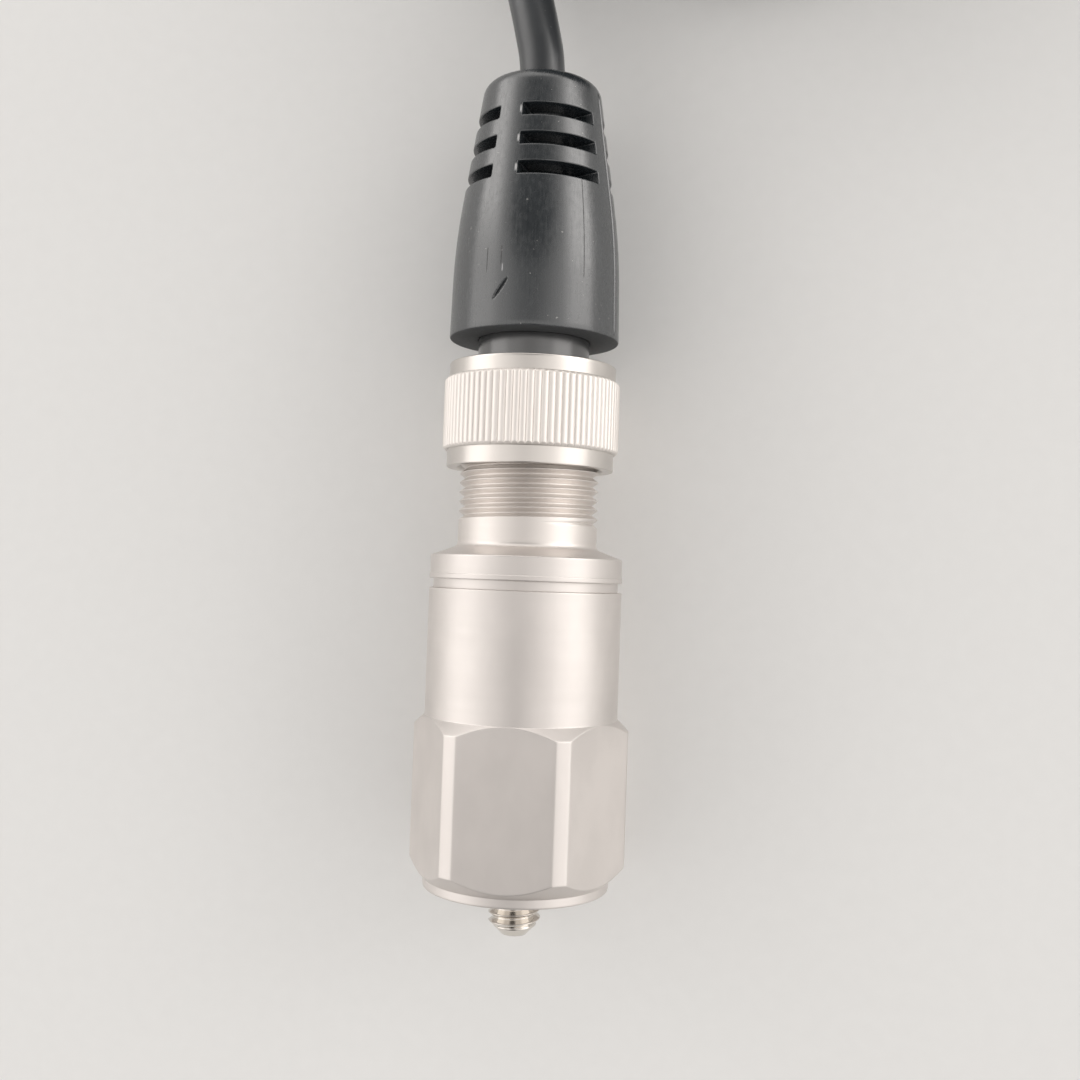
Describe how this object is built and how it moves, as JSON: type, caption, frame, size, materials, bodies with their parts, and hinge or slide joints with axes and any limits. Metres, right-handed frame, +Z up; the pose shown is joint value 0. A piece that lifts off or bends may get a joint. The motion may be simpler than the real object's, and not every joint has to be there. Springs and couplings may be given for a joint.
{
  "type": "vibration sensor",
  "caption": "Stainless piezo vibration sensor with a hexagon base, mounting stud and threaded connector, joined to a moulded cable plug by a knurled coupling nut.",
  "frame": {"origin": "on the surface that the sensor lies on, under the middle of its length from stud tip to boot end", "axes": "+Y along the sensor's axis from the mounting stud towards the cable, +Z up out of the flat opposite the one it lies on, +X to the right"},
  "size_m": [0.0686, 0.1821, 0.0276],
  "materials": {
    "satin_steel": "satin turned stainless steel",
    "stud_steel": "bright zinc plated steel",
    "nickel": "bright nickel plated",
    "inner_steel": "machined steel",
    "mass_metal": "sintered heavy metal",
    "piezo": "matt fired ceramic with silvered faces",
    "insulator": "matt ceramic",
    "header_glass": "dark sealing glass",
    "contact_brass": "gold flashed",
    "board": "green circuit board",
    "component_black": "matt black moulding",
    "core_insulation": "coloured core insulation",
    "gasket_rubber": "moulded silicone",
    "plug_black": "satin moulded black",
    "ring_plastic": "natural acetal",
    "boot_black": "satin black overmould",
    "cable_jacket": "matt black cable jacket",
    "tie_black": "black nylon strap",
    "sleeve_black": "heat shrunk sleeve",
    "ferrule_metal": "tinned"
  },
  "bodies": {
    "sensor": {"sensor_housing": "satin_steel", "mounting_stud": "stud_steel", "base_insulator": "insulator", "element_post": "inner_steel", "piezo_ring_lower": "piezo", "contact_electrode": "contact_brass", "piezo_ring_upper": "piezo", "insulating_sleeve": "insulator", "seismic_mass": "mass_metal", "spring_washer": "inner_steel", "preload_nut": "inner_steel", "shield_can": "inner_steel", "signal_wire": "contact_brass", "board_spacer": "insulator", "amplifier_board": "board", "board_components": "component_black", "lead_wires": "core_insulation", "connector_header": "satin_steel", "header_insulator": "header_glass", "contact_pins": "contact_brass", "plug_gasket": "gasket_rubber", "plug_insert": "plug_black", "contact_sockets": "contact_brass", "inner_mould": "component_black", "cable_cores": "core_insulation", "cable_boot": "boot_black", "cable_stub": "cable_jacket", "cable_lead": "cable_jacket", "cable_coil": "cable_jacket", "coil_ties": "tie_black", "cable_end_sleeve": "sleeve_black", "end_leads": "core_insulation", "lead_ferrules": "ferrule_metal"},
    "nut_ring": {"nut_friction_ring": "ring_plastic"},
    "nut": {"coupling_nut": "nickel"}
  },
  "joints": [
    {"name": "nut_travel", "type": "slide", "parent": "sensor", "child": "nut_ring", "axis": [0, 1, 0], "range_m": [0, 0.00265]},
    {"name": "nut_turn", "type": "hinge", "parent": "nut_ring", "child": "nut", "pos_m": [0, 0.01015, 0.011], "axis": [0, 1, 0], "range_deg": [0, 900]}
  ],
  "couplings": [
    {"joint": "nut_turn", "follows": "nut_travel", "rad_per_m": 5936.8}
  ]
}
